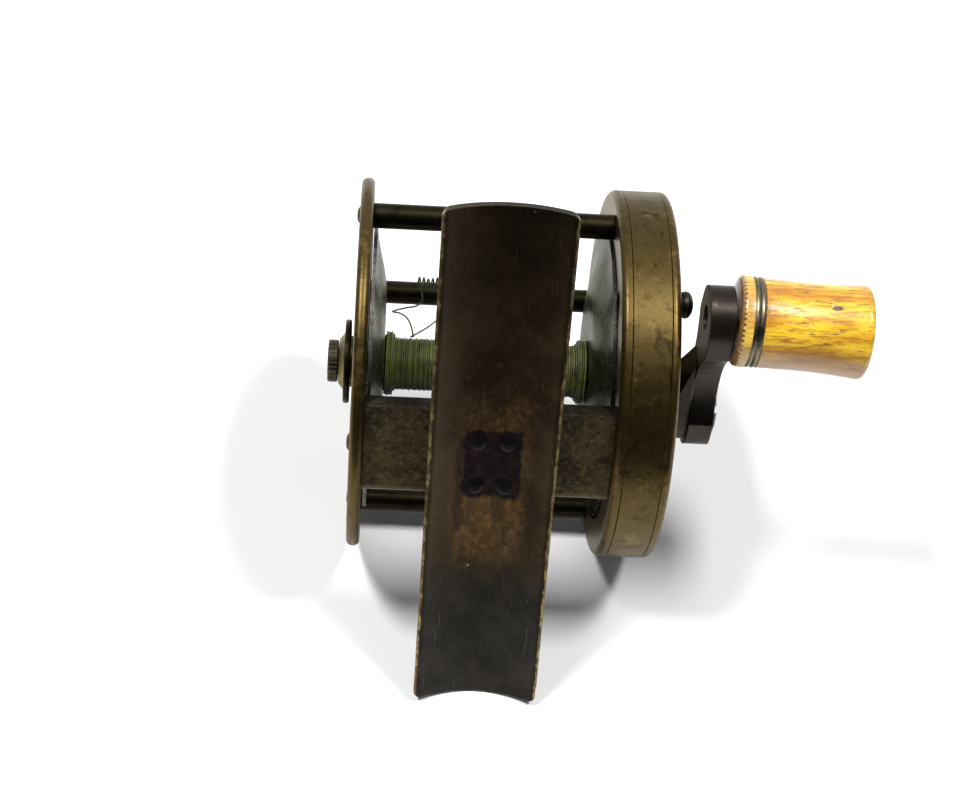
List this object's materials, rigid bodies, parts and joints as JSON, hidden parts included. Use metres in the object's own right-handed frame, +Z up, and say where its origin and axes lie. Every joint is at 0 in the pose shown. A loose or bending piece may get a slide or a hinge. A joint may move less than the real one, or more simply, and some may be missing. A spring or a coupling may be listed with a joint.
{
  "type": "fly reel",
  "caption": "Brass winch fly reel with a multiplying crank, bone handle, open pillar frame, spool of line and a hollow foot for a rod's reel seat.",
  "frame": {"origin": "middle of the bounding box, on the surface that the reel lies on", "axes": "+X along the spool's axis from the tail plate to the crank, +Z up; the foot leans back over the spool, towards +Y"},
  "size_m": [0.0822, 0.0756, 0.0812],
  "materials": {
    "aged_brass": "aged, mottled olive-brown patina",
    "foot_bronze": "dark brown patina with worn golden edges",
    "dark_bronze": "dark patina",
    "bearing_brass": "dull brass",
    "cap_brass": "knurled, dirty in the grooves",
    "gear_brass": "cut brass, oiled",
    "flange_metal": "nickel silver, turned finish",
    "black_iron": "blackened, handled smooth",
    "steel": "oiled steel",
    "screw_metal": "browned steel",
    "bone": "polished bone with brown streaks",
    "ring_metal": "dark rings",
    "line": "dressed green line"
  },
  "bodies": {
    "frame": {"tail_plate": "aged_brass", "head_plate": "aged_brass", "gear_case_wall": "aged_brass", "gear_case_cover": "aged_brass", "case_posts": "bearing_brass", "cover_screws": "screw_metal", "top_pillar": "dark_bronze", "rear_pillar": "dark_bronze", "bottom_pillar": "dark_bronze", "foot_block": "aged_brass", "foot": "foot_bronze", "foot_rivets": "dark_bronze", "tail_plate_screws": "screw_metal", "head_plate_screws": "steel", "tail_bearing": "bearing_brass", "bearing_disc": "dark_bronze", "bearing_collar": "bearing_brass", "head_bearing": "bearing_brass", "gear_pivot_bearing": "bearing_brass", "spindle_end_bearing": "bearing_brass", "crank_bearing": "bearing_brass", "check_pivot": "steel", "check_spring": "steel", "check_spring_screw": "steel"},
    "tension_cap": {"bearing_cap": "cap_brass"},
    "spool": {"spool_spindle": "steel", "spool_arbor": "flange_metal", "tail_flange": "flange_metal", "head_flange": "flange_metal", "pinion": "gear_brass", "check_wheel": "gear_brass", "wound_line": "line", "loose_line_rise": "line", "loose_line_curl": "line", "loose_line_fall": "line"},
    "crank": {"crank_shaft": "steel", "drive_gear": "gear_brass", "crank_arm": "black_iron", "crank_screw": "black_iron", "handle_pin": "steel"},
    "handle": {"handle_base_disc": "bone", "handle_rings": "ring_metal", "handle_knob": "bone"},
    "check": {"check_lever": "steel", "check_button": "black_iron"}
  },
  "joints": [
    {"name": "crank_turn", "type": "hinge", "parent": "frame", "child": "crank", "pos_m": [0.01481, -0.00204, 0.03357], "axis": [1, 0, 0], "continuous": true},
    {"name": "spool_spin", "type": "hinge", "parent": "frame", "child": "spool", "pos_m": [-0.01519, 0.00783, 0.03], "axis": [1, 0, 0], "continuous": true},
    {"name": "handle_spin", "type": "hinge", "parent": "crank", "child": "handle", "pos_m": [0.02016, -0.00368, 0.05621], "axis": [0.9988, -0.0362, -0.0328], "continuous": true},
    {"name": "check_slide", "type": "hinge", "parent": "frame", "child": "check", "pos_m": [0.00941, 0.0203, 0.03507], "axis": [1, 0, 0], "range_deg": [0, 7]},
    {"name": "tension_cap_turn", "type": "hinge", "parent": "frame", "child": "tension_cap", "pos_m": [-0.04019, 0.00783, 0.03], "axis": [-1, 0, 0], "range_deg": [0, 180]}
  ],
  "couplings": [
    {"joint": "spool_spin", "follows": "crank_turn", "ratio": -2.5}
  ]
}
